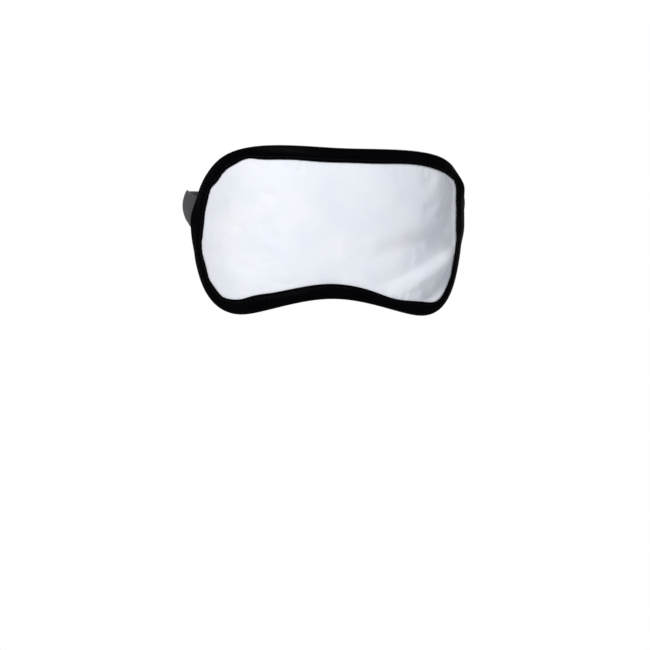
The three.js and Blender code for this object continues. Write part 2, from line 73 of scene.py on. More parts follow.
FACE_DEPTH = 98.0
WRAP_ANGLE = 1.17
WRAP_SHAPE = 0.87
END_LIFT = 4.4
END_TAPER = 1.55
END_FLARE = 1.5
FLARE_START = 82.0
FLARE_FOOT = (-10.0, 3.5)
FLARE_HEAD = (28.0, 48.0)
# Where an end curls outwards a little more: which end, from how far along it, flat height, how far, over
# what reach.
END_CURLS = [
    (-1, 95.0, 13.0, 2.0, 9.0),
    (1, 84.0, 31.0, 3.2, 8.0),
]

PANEL_THICKNESS = 0.6
EDGE_HALF_THICKNESS = 1.3
FRONT_CROWN = 2.0
BACK_CROWN = 0.9
CROWN_REACH = 26.0
TAPE_WIDTH = 8.3
TAPE_END_EXTRA = 5.0
TAPE_END_START = 88.0
TAPE_END_FULL = 100.0
TAPE_WANDER = 0.25
TAPE_STAND = 1.0  # of the tape's outside over the layer it covers
SEAM_INSET = TAPE_WIDTH - 1.3

STRAP_WIDTH = 20.0
STRAP_THICKNESS = 1.0
STRAP_HEIGHT = 13.5
STRAP_SEWN_LENGTH = 11.0
STRAP_END_U = 97.0
EAR_HALF_WIDTH = 88.0
EAR_SHIFT = 2.0
EAR_Y = 4.0
EAR_TILT = 3.4
BACK_Y = 94.0
BACK_HEIGHT = 20.5
EAR_LEVEL_Y = 12.0
STRAIGHT_HALF = 46.0
GAP = 0.3
LAYER_STEP = STRAP_THICKNESS + GAP
UNDER_OFFSET = -4.24
OVER_OFFSET = UNDER_OFFSET - LAYER_STEP

HARDWARE_HEIGHT = 26.5
RING_X = 26.0
RING_BAR_SPACING = 7.2
RING_BAR_RADIUS = 1.0
BAR_TURN = RING_BAR_RADIUS + GAP + STRAP_THICKNESS / 2
RING_Y = BACK_Y - BAR_TURN
RETURN_Y = RING_Y - BAR_TURN
SLIDER_X = -8.0
LOOP_LENGTH = 12.0
CENTRE_BAR_WIDTH = 2.4
LOOP_TURN = 1.5
CENTRE_BAR_Y = BACK_Y - LAYER_STEP - LOOP_TURN
RING_FOLD_LENGTH = 14.0


# ---- Small geometry helpers ----


def smoothstep(x, low, high):
    t = np.clip((x - low) / (high - low), 0, 1)
    return t * t * (3 - 2 * t)


def bezier(corners, count):
    """Points along a Bezier curve of three or four control points."""
    t = np.linspace(0, 1, count)[:, None]
    corners = np.asarray(corners, float)
    while len(corners) > 1:
        if corners.ndim == 2:
            corners = corners[:, None, :].repeat(count, axis=1)
        corners = corners[:-1] * (1 - t) + corners[1:] * t
    return corners[0]


def evenly(line, count):
    """The same line with count points at equal steps along it."""
    steps = np.linalg.norm(np.diff(line, axis=0), axis=1)
    along = np.concatenate([[0], np.cumsum(steps)])
    wanted = np.linspace(0, along[-1], count)
    return np.column_stack([np.interp(wanted, along, line[:, i]) for i in range(line.shape[1])])


def along_line(line):
    """The distance along an open line of each of its points."""
    steps = np.linalg.norm(np.diff(line, axis=0), axis=1)
    return np.concatenate([[0], np.cumsum(steps)])


def ripple(position, period, waves, seed):
    """A smooth random wave from -1 to 1 that repeats every period; waves is (fewest, most) per period."""
    rng = random.Random(seed)
    fewest, most = waves
    total = np.zeros_like(position, float)
    parts = 9
    for part in range(parts):
        turns = fewest + (most - fewest) * part // (parts - 1)
        total += np.sin(2 * math.pi * (turns * position / period + rng.random()))
    return total / math.sqrt(parts) / 1.6


# ---- Flat pattern and worn shape ----


def outline(count):
    """count points round the pad's outer edge, evenly spaced, clockwise from the middle of the top."""
    top = (0, PAD_TOP)
    side = (PAD_HALF_WIDTH, SIDE_HEIGHT)
    lobe = (LOBE_OFFSET, LOBE_BOTTOM)
    nose = (0, NOSE_BOTTOM)
    over_side = (PAD_HALF_WIDTH, SIDE_HEIGHT + SIDE_UPPER_HANDLE)
    under_side = (PAD_HALF_WIDTH, SIDE_HEIGHT - SIDE_LOWER_HANDLE)
    outside_lobe = (LOBE_OFFSET + LOBE_OUTER_HANDLE, LOBE_BOTTOM)
    inside_lobe = (LOBE_OFFSET - LOBE_INNER_HANDLE, LOBE_BOTTOM)
    samples = 400
    shoulder = bezier([top, (TOP_HANDLE, PAD_TOP), over_side, side], samples)
    cheek = bezier([side, under_side, outside_lobe, lobe], samples)
    notch = bezier([lobe, inside_lobe, (NOSE_HANDLE, NOSE_BOTTOM), nose], samples)
    half = np.concatenate([shoulder, cheek[1:], notch[1:]])
    right = evenly(half, count // 2 + 1)
    left = right[-2:0:-1] * (-1, 1)
    return np.concatenate([right, left])


def inward(edge):
    """The unit normals of a clockwise closed edge that point into the pad."""
    along = np.roll(edge, -1, axis=0) - np.roll(edge, 1, axis=0)
    along /= np.linalg.norm(along, axis=1)[:, None]
    return np.column_stack([along[:, 1], -along[:, 0]])


FINE_EDGE = outline(1600)
EDGE_LENGTH = float(np.linalg.norm(FINE_EDGE - np.roll(FINE_EDGE, 1, axis=0), axis=1).sum())


def nearest_edge(places):
    """How far each flat place is from the pad's outer edge, and which point of FINE_EDGE is nearest."""
    apart = [np.linalg.norm(FINE_EDGE - place, axis=1) for place in places]
    return np.array([a.min() for a in apart]), np.array([a.argmin() for a in apart])


TAPE_SECTIONS = 640
TAPE_EDGE = outline(TAPE_SECTIONS)
TAPE_INWARD = inward(TAPE_EDGE)
TAPE_ALONG = np.arange(TAPE_SECTIONS) / TAPE_SECTIONS * EDGE_LENGTH

# Where the tape was sewn on wider or narrower: its distance along the edge, clockwise from the middle of
# the top, how much wider it is there, and over what reach.
TAPE_DRIFTS = [
    (95, -2.2, 9),
    (127, 3.2, 15),
    (154, -1.4, 7),
    (190, -2.2, 13),
    (233, -2.1, 14),
    (311, 1.2, 10),
    (340, -1.4, 9),
    (379, -3.2, 11),
    (404, 1.0, 12),
    (443, 3.6, 10),
    (473, -1.7, 8),
]


def tape_widths():
    """The tape's width at each of its sections. It wanders, as sewn by hand."""
    at_ends = smoothstep(np.abs(TAPE_EDGE[:, 0]), TAPE_END_START, TAPE_END_FULL)
    width = TAPE_WIDTH + TAPE_END_EXTRA * at_ends
    width += TAPE_WANDER * ripple(TAPE_ALONG, EDGE_LENGTH, (5, 19), 41)
    for place, change, reach in TAPE_DRIFTS:
        width += change * np.exp(-(((TAPE_ALONG - place) / reach) ** 2))
    return width


TAPE_WIDTHS = tape_widths()
WIDTH_SHARE = TAPE_WIDTHS / TAPE_WIDTH
PLAN_U = np.arange(0, PAD_HALF_WIDTH + 20, 0.25)


def turn_at(u):
    t = np.minimum(np.abs(u) / PAD_HALF_WIDTH, 1)
    return WRAP_ANGLE * ((1 - WRAP_SHAPE) * t + WRAP_SHAPE * t * t * (3 - 2 * t))


def plan_table():
    """X and Y of the pad's middle surface at each of PLAN_U."""
    middle = turn_at((PLAN_U[:-1] + PLAN_U[1:]) / 2)
    step = PLAN_U[1]
    x = np.concatenate([[0], np.cumsum(np.cos(middle) * step)])
    y = np.concatenate([[0], np.cumsum(np.sin(middle) * step)]) - FACE_DEPTH
    return x, y


PLAN_X, PLAN_Y = plan_table()


def end_flare(u, v):
    """How far the pad's ends stand off the face, where the strap is sewn on, and curl outwards."""
    outwards = smoothstep(np.abs(u), FLARE_START, PAD_HALF_WIDTH)
    fade = 1 - smoothstep(v, *FLARE_HEAD)
    flare = END_FLARE * outwards * smoothstep(v, *FLARE_FOOT) * fade
    for end, start, height, far, reach in END_CURLS:
        near = np.exp(-(((v - height) / reach) ** 2))
        flare = flare + far * smoothstep(end * u, start, PAD_HALF_WIDTH) * near
    return flare


def worn(u, v, offset):
    """The place on the worn pad of flat (u, v), standing off its middle surface by offset."""
    u, v, offset = np.broadcast_arrays(np.asarray(u, float), v, offset)
    offset = offset + end_flare(u, v)
    turn = turn_at(u)
    share = u / 100
    x = np.interp(np.abs(u), PLAN_U, PLAN_X) + offset * np.sin(turn)
    y = np.interp(np.abs(u), PLAN_U, PLAN_Y) - offset * np.cos(turn)
    z = v + END_LIFT * share**3 - END_TAPER * share * v / 100
    return np.stack([np.where(u < 0, -x, x), y, z], axis=-1)


def front_face(distance):
    return EDGE_HALF_THICKNESS + FRONT_CROWN * smoothstep(distance, 0, CROWN_REACH)


def back_face(distance):
    return -EDGE_HALF_THICKNESS - BACK_CROWN * smoothstep(distance, 0, CROWN_REACH)


# ---- Meshes ----


def mesh_piece(name, points, faces, uv=None, smooth=True):
    """A new object from points in millimetres. uv is each point's place in the cloth, in millimetres."""
    mesh = bpy.data.meshes.new(name)
    mesh.from_pydata((np.asarray(points) * MM).tolist(), [], [list(f) for f in faces])
    mesh.update()
    if uv is not None:
        layer = mesh.uv_layers.new(name="cloth")
        corner = np.zeros(len(mesh.loops), int)
        mesh.loops.foreach_get("vertex_index", corner)
        layer.data.foreach_set("uv", np.asarray(uv, np.float32)[corner].ravel())
    if smooth:
        mesh.polygons.foreach_set("use_smooth", [True] * len(mesh.polygons))
    piece = bpy.data.objects.new(name, mesh)
    scene.collection.objects.link(piece)
    return piece


def grid_faces(rows, columns, wrap_rows=False, wrap_columns=False):
    """Quads of a grid of points stored row by row."""
    faces = []
    for r in range(rows if wrap_rows else rows - 1):
        for c in range(columns if wrap_columns else columns - 1):
            a = r * columns + c
            b = r * columns + (c + 1) % columns
            d = (r + 1) % rows * columns + c
            e = (r + 1) % rows * columns + (c + 1) % columns
            faces.append((a, b, e, d))
    return faces


def face_outwards(piece):
    """Turns a closed piece's faces outwards."""
    bm = bmesh.new()
    bm.from_mesh(piece.data)
    bmesh.ops.recalc_face_normals(bm, faces=bm.faces)
    bm.to_mesh(piece.data)
    bm.free()
    return piece


def close_cloth(piece, length):
    """Where a closed loop of cloth joins itself, its places run on to its full length, not back to 0."""
    corners = piece.data.uv_layers["cloth"].data
    for face in piece.data.polygons:
        lengths = [corners[i].uv[0] for i in face.loop_indices]
        if max(lengths) - min(lengths) > length / 2:
            for i in face.loop_indices:
                if corners[i].uv[0] < length / 2:
                    corners[i].uv[0] += length


def shade_by_angle(piece, degrees):
    """Smooth shading, with every edge sharper than this left crisp."""
    limit = math.radians(degrees)
    bm = bmesh.new()
    bm.from_mesh(piece.data)
    for edge in bm.edges:
        edge.smooth = len(edge.link_faces) == 2 and edge.calc_face_angle() < limit
    for face in bm.faces:
        face.smooth = True
    bm.to_mesh(piece.data)
    bm.free()


def tube(path, radii, sides):
    """Points and faces of a closed round tube along a path, with a radius at each of its points."""
    path = np.asarray(path, float)
    along = np.gradient(path, axis=0)
    along /= np.linalg.norm(along, axis=1)[:, None]
    steady = np.array([0.31, 0.17, 0.93])
    first = np.cross(along, steady)
    first /= np.linalg.norm(first, axis=1)[:, None]
    second = np.cross(along, first)
    turns = (2 * math.pi * np.arange(sides) / sides)[None, :, None]
    spokes = first[:, None] * np.cos(turns) + second[:, None] * np.sin(turns)
    rings = path[:, None] + spokes * np.asarray(radii, float)[:, None, None]
    points = rings.reshape(-1, 3)
    faces = grid_faces(len(path), sides, wrap_columns=True)
    last = (len(path) - 1) * sides
    faces.append(tuple(range(sides)))
    faces.append(tuple(last + i for i in reversed(range(sides))))
    return points, faces


def joined(shapes):
    """Several (points, faces) as one (points, faces)."""
    points, faces, count = [], [], 0
    for shape_points, shape_faces in shapes:
        points.append(shape_points)
        faces.extend(tuple(count + i for i in face) for face in shape_faces)
        count += len(shape_points)
    return np.concatenate(points), faces


def stands_for(piece, material, slot, body, *nodes):
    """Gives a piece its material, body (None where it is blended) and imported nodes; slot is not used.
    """
    piece.data.materials.append(material)
    if body:
        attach(piece, body)
    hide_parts(*nodes)


# ---- Material nodes ----


class Nodes:
    """Builds one material's node tree around its Principled shader."""

    def __init__(self, name):
        self.material = bpy.data.materials.new(name)
        self.material.use_nodes = True
        self.tree = self.material.node_tree
        self.shader = self.tree.nodes["Principled BSDF"]

    def node(self, kind, inputs=None, **settings):
        made = self.tree.nodes.new("ShaderNode" + kind)
        for key, value in settings.items():
            setattr(made, key, value)
        for key, value in (inputs or {}).items():
            self.feed(made.inputs[key], value)
        return made

    def feed(self, socket, value):
        if isinstance(value, bpy.types.NodeSocket):
            self.tree.links.new(value, socket)
        else:
            socket.default_value = value

    def math(self, operation, a, b=0.0):
        return self.node("Math", {0: a, 1: b}, operation=operation).outputs[0]

    def place(self, scale=(1, 1, 1), turn=0.0, from_uv=True):
        """Coordinates in millimetres of cloth, or of the object, times scale."""
        if from_uv:
            source = self.node("UVMap", uv_map="cloth").outputs[0]
        else:
            source = self.node("TexCoord").outputs["Object"]
            scale = tuple(s / MM for s in scale)
        inputs = {"Vector": source, "Scale": scale, "Rotation": (0, 0, turn)}
        return self.node("Mapping", inputs).outputs[0]

    def noise(self, size, detail=3.0, from_uv=True, stretch=(1, 1, 1)):
        """Noise with features of about size millimetres."""
        scale = tuple(s / size for s in stretch)
        inputs = {"Vector": self.place(scale, from_uv=from_uv), "Scale": 1.0, "Detail": detail}
        return self.node("TexNoise", inputs).outputs["Fac"]

    def bands(self, pitch, turn=0.0, distortion=0.0):
        """Stripes across the cloth's length, pitch millimetres apart."""
        inputs = {
            "Vector": self.place((1 / pitch, 1 / pitch, 1), turn),
            "Scale": math.pi / 10,
            "Distortion": distortion,
            "Detail Scale": 2.0,
        }
        return self.node("TexWave", inputs, bands_direction="X").outputs["Fac"]

    def remap(self, value, low, high):
        """0..1 to low..high."""
        return self.node("MapRange", {"Value": value, "To Min": low, "To Max": high}).outputs[0]

    def blend(self, share, first, second):
        made = self.node("Mix", data_type="RGBA")
        self.feed(made.inputs[0], share)
        self.feed(made.inputs[6], (*first, 1))
        self.feed(made.inputs[7], (*second, 1))
        return made.outputs[2]

    def bump(self, height, depth, below=None):
        """Bumps of depth millimetres, on top of other bumps."""
        inputs = {"Height": height, "Strength": 1.0, "Distance": depth * MM}
        if below is not None:
            inputs["Normal"] = below
        return self.node("Bump", inputs).outputs[0]

    def finish(self, **values):
        """Sets the Principled shader's sockets by their names, with _ for a space."""
        for key, value in values.items():
            self.feed(self.shader.inputs[key.replace("_", " ")], value)
        return self.material


def white_satin():
    """Smooth white polyester satin: long floats across, a faint cool mottle and soft creases."""
    n = Nodes("white satin")
    mottle = n.noise(26, detail=4)
    floats = n.bands(0.42, turn=math.pi / 2, distortion=0.6)
    threads = n.bands(0.3)
    weave = n.math("ADD", n.math("MULTIPLY", floats, 0.7), n.math("MULTIPLY", threads, 0.3))
    creases = n.noise(7, detail=2, stretch=(1, 0.6, 1))
    below = n.bump(creases, 0.10)
    return n.finish(
        Base_Color=n.blend(n.remap(mottle, -0.6, 1.6), (0.77, 0.80, 0.87), (0.86, 0.88, 0.92)),
        Roughness=n.remap(weave, 0.44, 0.58),
        Normal=n.bump(weave, 0.012, below),
        Sheen_Weight=0.12,
        Sheen_Roughness=0.4,
        Specular_IOR_Level=0.35,
    )


def black_satin():
    """Black satin bias tape: fine diagonal floats and a low sheen."""
    n = Nodes("black satin")
    floats = n.bands(0.38, turn=math.pi / 4, distortion=0.8)
    wear = n.noise(9, detail=4)
    creases = n.noise(2.6, detail=2, stretch=(1.6, 0.5, 1))
    below = n.bump(creases, 0.12)
    return n.finish(
        Base_Color=n.blend(wear, (0.0006, 0.0006, 0.001), (0.0018, 0.0018, 0.0026)),
        Roughness=n.remap(n.math("MULTIPLY", floats, wear), 0.3, 0.5),
        Normal=n.bump(floats, 0.02, below),
        IOR=1.06,
    )


def black_lining():
    """Soft brushed black knit: a fuzzy nap over fine courses."""
    n = Nodes("black lining")
    nap = n.noise(0.9, detail=6, stretch=(1, 0.55, 1))
    patches = n.noise(14, detail=3)
    courses = n.bands(0.9, turn=math.pi / 2, distortion=1.2)
    below = n.bump(courses, 0.05)
    return n.finish(
        Base_Color=n.blend(n.math("MULTIPLY", nap, patches), (0.008, 0.008, 0.010), (0.03, 0.03, 0.034)),
        Roughness=n.remap(nap, 0.82, 0.98),
        Normal=n.bump(nap, 0.16, below),
        Sheen_Weight=0.35,
        Sheen_Roughness=0.55,
        Specular_IOR_Level=0.2,
    )


def grey_elastic():
    """Woven elastic: picks across its lengthwise ribs, a faint slanting draw in the weave, and painted
    rib shade.
    """
    n = Nodes("grey elastic")
    picks = n.bands(0.75, distortion=0.5)
    slant = n.bands(6.5, turn=math.radians(24), distortion=1.5)
    cords = n.bands(STRAP_WIDTH / RIBS / 4, turn=math.pi / 2)
    # Stripes at the ribs' pitch: in the bump they are the ribs' real relief, in the colour they are
    # painted shade.
    ribs = n.bands(STRAP_WIDTH / RIBS, turn=math.pi / 2, distortion=0.2)
    fuzz = n.noise(0.7, detail=5)
    weave = n.math("ADD", n.math("MULTIPLY", picks, 0.6), n.math("MULTIPLY", cords, 0.4))
    # The rib stripes mixed in here put painted shade along the ribs into the strap's colour, on top of
    # its weave tone.
    pattern = n.math("ADD", n.math("MULTIPLY", slant, 0.25), n.math("MULTIPLY", ribs, 0.6))
    weave_tone_and_rib_shade = n.math("MULTIPLY", n.math("ADD", pattern, weave), fuzz)
    below = n.bump(ribs, 0.08)
    return n.finish(
        Base_Color=n.blend(weave_tone_and_rib_shade, (0.022, 0.021, 0.028), (0.066, 0.063, 0.078)),
        Roughness=n.remap(fuzz, 0.7, 0.9),
        Normal=n.bump(weave, 0.10, below),
        Sheen_Weight=0.08,
        Sheen_Roughness=0.5,
        Specular_IOR_Level=0.25,
    )


def sewing_thread():
    """Black polyester thread with its ply."""
    n = Nodes("sewing thread")
    fuzz = n.noise(0.25, detail=4, from_uv=False)
    return n.finish(
        Base_Color=n.blend(fuzz, (0.0015, 0.0015, 0.002), (0.007, 0.007, 0.009)),
        Roughness=n.remap(fuzz, 0.42, 0.62),
        Normal=n.bump(fuzz, 0.05),
        IOR=1.2,
    )


def foam():
    """Open-cell foam: cream, with fine pores."""
    n = Nodes("foam")
    pore_size = 0.8
    place = n.place((1 / pore_size,) * 3, from_uv=False)
    pores = n.node("TexVoronoi", {"Vector": place, "Scale": 1.0}).outputs["Distance"]
    patches = n.noise(12, from_uv=False)
    return n.finish(
        Base_Color=n.blend(patches, (0.66, 0.62, 0.5), (0.76, 0.73, 0.62)),
        Roughness=n.remap(pores, 0.85, 1.0),
        Normal=n.bump(pores, 0.25),
        Specular_IOR_Level=0.2,
    )


def black_plastic():
    """Moulded acetal: a fine matt grain with polished patches where the strap rubs."""
    n = Nodes("black plastic")
    grain = n.noise(0.3, detail=4, from_uv=False)
    rubbed = n.noise(5, detail=2, from_uv=False)
    return n.finish(
        Base_Color=n.blend(rubbed, (0.008, 0.008, 0.009), (0.014, 0.014, 0.016)),
        Roughness=n.math("ADD", n.remap(grain, 0.22, 0.34), n.remap(rubbed, -0.06, 0.1)),
        Normal=n.bump(grain, 0.01),
        Specular_IOR_Level=0.5,
    )


# ---- Cloth simulation ----

CLOTH_FRAMES = 18


def settle(piece, held, slack, pressure, furthest):
    """Simulates a sewn panel as cloth and keeps the shape it settles in.

    held is 1 for each point that the seam holds, slack the share by which the cloth is larger than its
    place, and furthest the most that each point may move, in millimetres.
    """
    before = np.array([v.co for v in piece.data.vertices])
    group = piece.vertex_groups.new(name="sewn")
    for index, weight in enumerate(held):
        if weight > 0:
            group.add([index], float(weight), "REPLACE")
    modifier = piece.modifiers.new("cloth", "CLOTH")
    cloth = modifier.settings
    cloth.quality = 6
    cloth.mass = 0.08
    cloth.tension_stiffness = 18
    cloth.compression_stiffness = 18
    cloth.shear_stiffness = 8
    cloth.bending_stiffness = 1.2
    cloth.air_damping = 3
    cloth.vertex_group_mass = "sewn"
    cloth.shrink_min = -slack
    cloth.use_pressure = True
    cloth.uniform_pressure_force = pressure
    cloth.effector_weights.gravity = 0
    modifier.collision_settings.use_collision = False
    modifier.point_cache.frame_end = CLOTH_FRAMES
    for step in range(1, CLOTH_FRAMES + 1):
        scene.frame_set(step)
    settled = piece.evaluated_get(bpy.context.evaluated_depsgraph_get())
    after = np.array([v.co for v in settled.data.vertices])
    piece.modifiers.remove(modifier)
    piece.vertex_groups.clear()
    scene.frame_set(1)
    move = after - before
    length = np.linalg.norm(move, axis=1)[:, None]
    most = furthest[:, None] * MM
    move *= most * np.tanh(length / most) / np.maximum(length, 1e-9)
    piece.data.vertices.foreach_set("co", (before + move).ravel())
    piece.data.update()


# ---- The pad's layers ----

COLUMNS = 176
ROWS = 84
PANEL_INSET = 1.2  # from the outer edge to the panels' cut edge, inside the tape
FOAM_GIVE = 0.6  # how deep a fold of the front sinks before it bends the whole pad
FRONT_PUCKER = 0.26
BACK_PUCKER = 0.2
PUCKER_REACH = 4.5
BACK_GATHER = 0.28


def panel_places(inset, columns, rows):
    """Flat places that fill the pad to this inset, row by row.

    They are a Coons patch between four stretches of the edge.
    """
    edge = outline(2 * (columns + rows))
    ring = edge + inward(edge) * inset
    count = len(ring)
    corner = columns // 2
    top = ring[(np.arange(columns + 1) - corner) % count]
    right = ring[(corner + rows - np.arange(rows + 1)) % count]
    bottom = ring[(corner + rows + columns - np.arange(columns + 1)) % count]
    left = ring[(corner + rows + columns + np.arange(rows + 1)) % count]
    a = (np.arange(columns + 1) / columns)[None, :, None]
    b = (np.arange(rows + 1) / rows)[:, None, None]
    grid = (1 - b) * bottom[None] + b * top[None] + (1 - a) * left[:, None] + a * right[:, None]
    grid = grid - (1 - a) * (1 - b) * bottom[0] - a * (1 - b) * bottom[-1]
    grid = grid - (1 - a) * b * top[0] - a * b * top[-1]
    return grid.reshape(-1, 2)


PLACES = panel_places(PANEL_INSET, COLUMNS, ROWS)
DISTANCE, NEAREST = nearest_edge(PLACES)
ALONG_EDGE = NEAREST / len(FINE_EDGE) * EDGE_LENGTH
# How far each place is clear of the tape; negative under it.
CLEAR = DISTANCE - np.interp(ALONG_EDGE, TAPE_ALONG, TAPE_WIDTHS, period=EDGE_LENGTH)
INSIDE = smoothstep(CLEAR, -0.5, 3)

# Folds of the front: a fold's way through flat control points, how far it stands out (a valley is
# negative), and its width to the right and to the left of its way.
FRONT_FOLDS = [
    ([(95, 38), (88, 22), (80, 4), (56, -10)], -2.8, 10.0, 7.0),
    ([(76, 0), (58, -2), (42, -8), (16, -16)], -2.5, 7.0, 8.0),
    ([(98, -3), (82, -7), (62, -13), (30, -29)], -3.3, 8.5, 3.8),
    ([(94, -8), (78, -14), (58, -24), (36, -35)], 1.8, 4.6, 4.6),
    ([(97, -10), (82, -20), (68, -32), (54, -44)], -3.2, 4.6, 3.6),
    ([(92, -24), (84, -31), (76, -38), (66, -44)], 1.4, 3.2, 3.2),
    ([(99, 16), (97, -6), (92, -24), (76, -40)], 1.5, 1.7, 1.7),
    ([(94, 10), (93, -8), (88, -22), (75, -36)], -1.1, 1.5, 1.5),
    ([(70, 42), (66, 34), (60, 24), (50, 14)], 0.8, 7.0, 7.0),
    ([(88, 20), (78, 14), (68, 8), (58, 4)], 0.5, 2.6, 2.6),
    ([(-95, 18), (-84, 10), (-70, 4), (-52, 2)], -0.4, 6.0, 6.0),
    ([(-92, -14), (-80, -20), (-66, -26), (-50, -30)], 0.35, 6.0, 6.0),
    ([(24, 39), (27, 33), (31, 28), (36, 24)], 0.25, 3.0, 3.0),
    ([(-6, -31), (-3, -24), (1, -16), (6, -8)], 0.25, 5.0, 5.0),
]


FOLD_TAIL = 0.12  # the share of a half wave that is left out before a fold's start
FOLD_RUN = 0.76  # the share of a half wave along a fold


def fold_heights(places, folds):
    """How far soft folds lift or sink each flat place; each fold dies out towards its ends."""
    height = np.zeros(len(places))
    for way, rise, right, left in folds:
        line = bezier(way, 60)
        apart = np.linalg.norm(places[:, None] - line[None], axis=2)
        nearest = apart.argmin(axis=1)
        share = nearest / (len(line) - 1)
        swell = np.sin(math.pi * (FOLD_TAIL + FOLD_RUN * share)) ** 1.2
        onward = np.gradient(line, axis=0)[nearest]
        beside = places - line[nearest]
        side = onward[:, 0] * beside[:, 1] - onward[:, 1] * beside[:, 0]
        reach = apart.min(axis=1) / np.where(side < 0, right, left)
        height += rise * swell * np.exp(-(reach**2))
    return height


def seam_puckers(seed, height):
    """Short gathers that run in from the seam and die out, at right angles to it."""
    wave = ripple(ALONG_EDGE, EDGE_LENGTH, (62, 118), seed)
    strength = 0.55 + 0.45 * ripple(ALONG_EDGE, EDGE_LENGTH, (3, 9), seed + 1)
    fade = smoothstep(CLEAR, -1, 1) * np.exp(-np.maximum(CLEAR, 0) / PUCKER_REACH)
    return height * wave * strength * fade


def panel(name, offsets, material, slot, slack, pressure, furthest):
    """One cloth panel of the pad: simulated, then given its thickness towards the foam."""
    points = worn(PLACES[:, 0], PLACES[:, 1], offsets)
    piece = mesh_piece(name + "_cloth", points, grid_faces(ROWS + 1, COLUMNS + 1), uv=PLACES)
    settle(piece, 1 - INSIDE, slack, pressure, furthest)
    body = piece.modifiers.new("thickness", "SOLIDIFY")
    body.thickness = PANEL_THICKNESS * MM
    body.offset = -1 if name == "front_panel" else 1
    body.use_even_offset = False
    stands_for(piece, material, slot, "mask", name)
    panel_area()


def panel_area():
    """The flat area of a panel, in square metres."""
    ring = FINE_EDGE + inward(FINE_EDGE) * PANEL_INSET
    x, y = ring[:, 0], ring[:, 1]
    return abs(float(np.sum(x * np.roll(y, 1) - y * np.roll(x, 1)))) / 2 * MM * MM


def front_offsets(folds):
    return front_face(DISTANCE) + folds + seam_puckers(11, FRONT_PUCKER)


def back_offsets(folds):
    """The back is on the inside of the bend, so it gathers in upright folds.

    The front's deep folds bend it too.
    """
    gathers = ripple(PLACES[:, 0] + 4 * np.sin(PLACES[:, 1] / 17), 240, (14, 25), 5)
    middle = smoothstep(CLEAR, 0, CROWN_REACH - TAPE_WIDTH)
    pushed = np.minimum(folds + FOAM_GIVE, 0)
    return back_face(DISTANCE) + pushed + BACK_GATHER * gathers * middle + seam_puckers(23, BACK_PUCKER)


def make_foam(front, back):
    """The padding, a closed slab just inside the two panels."""
    room = PANEL_THICKNESS + 0.25
    step = 2
    pick = np.arange(len(PLACES)).reshape(ROWS + 1, COLUMNS + 1)[::step, ::step]
    rows, columns = pick.shape
    chosen = pick.ravel()
    places = PLACES[chosen]
    outer = worn(places[:, 0], places[:, 1], front[chosen] - room - 0.5 * INSIDE[chosen])
    inner = worn(places[:, 0], places[:, 1], back[chosen] + room + 0.2 * INSIDE[chosen])
    count = len(chosen)
    faces = grid_faces(rows, columns)
    faces += [tuple(count + i for i in reversed(face)) for face in grid_faces(rows, columns)]
    around = list(range(columns - 1))
    around += [r * columns + columns - 1 for r in range(rows - 1)]
    around += [(rows - 1) * columns + c for c in range(columns - 1, 0, -1)]
    around += [r * columns for r in range(rows - 1, 0, -1)]
    for first, second in zip(around, around[1:] + around[:1]):
        faces.append((first, count + first, count + second, second))
    piece = mesh_piece("foam_slab", np.concatenate([outer, inner]), faces)
    face_outwards(piece)
    stands_for(piece, foam(), "foam", "mask", "foam_core")


# ---- The bound edge ----

LIP = 0.45  # radius of the tape's turned-in edge
NOSE = 1.2  # from the outer edge to where the tape's fold is round
PUFF = 0.45  # of the tape between its fold and its seam
SEAM_DRAW = 0.42  # how far the seam draws the tape in
SEAM_DRAW_REACH = 0.55


def tape_height(inset, face):
    """The tape's outside over the pad at an inset: puffed up, and drawn in along its seam."""
    share = np.clip((inset - NOSE) / (SEAM_INSET - NOSE), 0, 1)
    puff = PUFF * np.sin(math.pi * share) ** 0.8
    draw = SEAM_DRAW * np.exp(-(((inset - SEAM_INSET) / SEAM_DRAW_REACH) ** 2))
    return abs(face(inset)) + TAPE_STAND + puff - draw


def tape_side(face):
    """One side's outside from its turned-in edge to its fold, as (inset, height, pucker)."""
    edge_top = tape_height(np.array(TAPE_WIDTH - 0.2), face)
    base = abs(face(np.array(TAPE_WIDTH)))
    points = [(TAPE_WIDTH, base + 0.12, 0.8), (TAPE_WIDTH + 0.3, base + 0.3, 0.9)]
    points += [(TAPE_WIDTH + LIP, base + 0.62, 1.0), (TAPE_WIDTH + 0.25, edge_top - 0.12, 1.0)]
    beside_seam = [SEAM_INSET + step for step in (1.1, 0.7, 0.35, 0, -0.35, -0.8)]
    for inset in beside_seam + [5.3, 4.5, 3.8, 3.1, 2.5, 1.9]:
        pucker = float(smoothstep(inset, 0.5, 6.5))
        points.append((inset, float(tape_height(np.array(inset), face)), pucker))
    return points


def tape_profile():
    """The tape's closed section from its front outside to its inside, as (inset, height, pucker)."""
    front = tape_side(front_face)
    back = [(inset, -height, -pucker) for inset, height, pucker in tape_side(back_face)]
    high, low = front[-1][1], back[-1][1]
    fold = []
    steps = 9
    for i in range(1, steps):
        angle = math.pi / 2 - math.pi * i / steps
        inset = front[-1][0] * (1 - math.cos(angle) ** 0.9)
        fold.append((inset, (high if angle > 0 else -low) * math.sin(angle), 0.0))
    inside = []
    for inset in (6.5, 3.5, 1.1):
        inside.append((inset, float(back_face(np.array(inset))) - 0.15, 0.0))
    for inset in (1.1, 3.5, 6.5):
        inside.append((inset, float(front_face(np.array(inset))) + 0.15, 0.0))
    return front + fold + back[::-1] + inside


def corner_share():
    """0 where the edge is straight, 1 round the tightest corners."""
    turn = np.roll(TAPE_INWARD, -4, axis=0) - np.roll(TAPE_INWARD, 4, axis=0)
    bend = np.linalg.norm(turn, axis=1)
    return smoothstep(bend, 0.06, 0.26)


